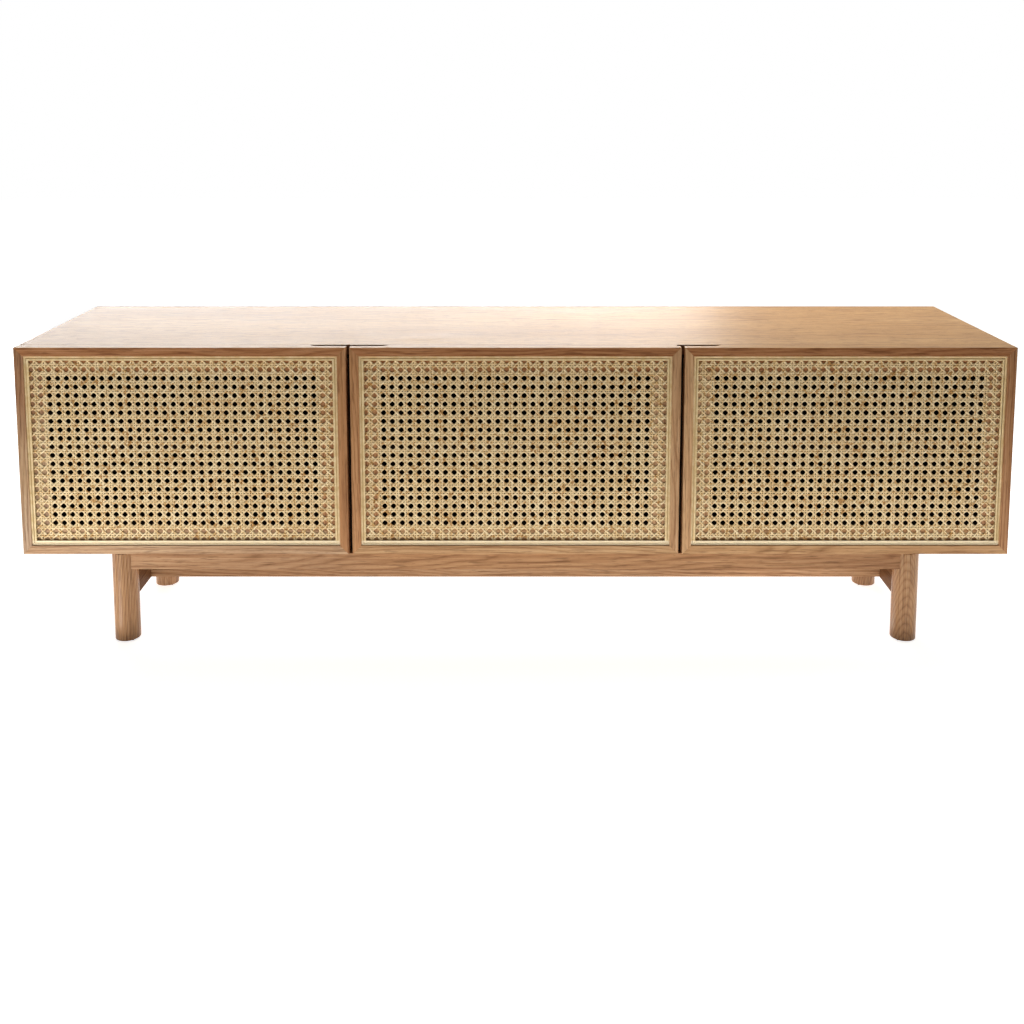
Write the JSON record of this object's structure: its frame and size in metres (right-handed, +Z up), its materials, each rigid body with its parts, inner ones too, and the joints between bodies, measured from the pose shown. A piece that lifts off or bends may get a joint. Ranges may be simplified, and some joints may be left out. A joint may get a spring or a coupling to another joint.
{
  "type": "media console",
  "caption": "Low wooden media console on round legs, with mitred doors of woven cane webbing that hang on hidden hinges and open by finger scoops in their top edges.",
  "frame": {"origin": "on the floor, under the middle of the console's outline", "axes": "+X to the right as seen from the doors, +Y from the doors to the back, +Z up"},
  "size_m": [1.8, 0.4, 0.555],
  "materials": {
    "oak": "satin",
    "dark_board": "matt",
    "pale_bead": "satin",
    "cane": "satin",
    "hinge_steel": "nickel plated",
    "soft_stop": "translucent",
    "felt": "felt"
  },
  "bodies": {
    "case": {"bottom_panel": "oak", "centre_back_panel": "dark_board", "centre_beam": "oak", "centre_shelf": "dark_board", "foot_glides": "felt", "front_left_leg": "oak", "front_rail": "oak", "front_right_leg": "oak", "left_back_panel": "dark_board", "left_divider": "oak", "left_door_hinge_arms": "hinge_steel", "left_door_hinge_plates": "hinge_steel", "left_shelf": "dark_board", "left_side_panel": "oak", "left_side_rail": "oak", "middle_door_hinge_arms": "hinge_steel", "middle_door_hinge_plates": "hinge_steel", "rear_left_leg": "oak", "rear_rail": "oak", "rear_right_leg": "oak", "right_back_panel": "dark_board", "right_divider": "oak", "right_door_hinge_arms": "hinge_steel", "right_door_hinge_plates": "hinge_steel", "right_shelf": "dark_board", "right_side_panel": "oak", "right_side_rail": "oak", "shelf_supports": "hinge_steel", "top_panel": "oak"},
    "left_door": {"left_door_bottom_rail": "oak", "left_door_bumpers": "soft_stop", "left_door_cane_bead": "pale_bead", "left_door_cane_webbing": "cane", "left_door_hinge_cups": "hinge_steel", "left_door_hinge_pins": "hinge_steel", "left_door_left_stile": "oak", "left_door_right_stile": "oak", "left_door_top_rail": "oak"},
    "middle_door": {"middle_door_bottom_rail": "oak", "middle_door_bumpers": "soft_stop", "middle_door_cane_bead": "pale_bead", "middle_door_cane_webbing": "cane", "middle_door_hinge_cups": "hinge_steel", "middle_door_hinge_pins": "hinge_steel", "middle_door_left_stile": "oak", "middle_door_right_stile": "oak", "middle_door_top_rail": "oak"},
    "right_door": {"right_door_bottom_rail": "oak", "right_door_bumpers": "soft_stop", "right_door_cane_bead": "pale_bead", "right_door_cane_webbing": "cane", "right_door_hinge_cups": "hinge_steel", "right_door_hinge_pins": "hinge_steel", "right_door_left_stile": "oak", "right_door_right_stile": "oak", "right_door_top_rail": "oak"}
  },
  "joints": [
    {"name": "left_door_hinge", "type": "hinge", "parent": "case", "child": "left_door", "pos_m": [-0.8915, -0.1877, 0.3625], "axis": [0, 0, -1], "range_deg": [0, 95]},
    {"name": "middle_door_hinge", "type": "hinge", "parent": "case", "child": "middle_door", "pos_m": [0.28917, -0.1877, 0.3625], "axis": [0, 0, 1], "range_deg": [0, 95]},
    {"name": "right_door_hinge", "type": "hinge", "parent": "case", "child": "right_door", "pos_m": [0.8915, -0.1877, 0.3625], "axis": [0, 0, 1], "range_deg": [0, 95]}
  ]
}
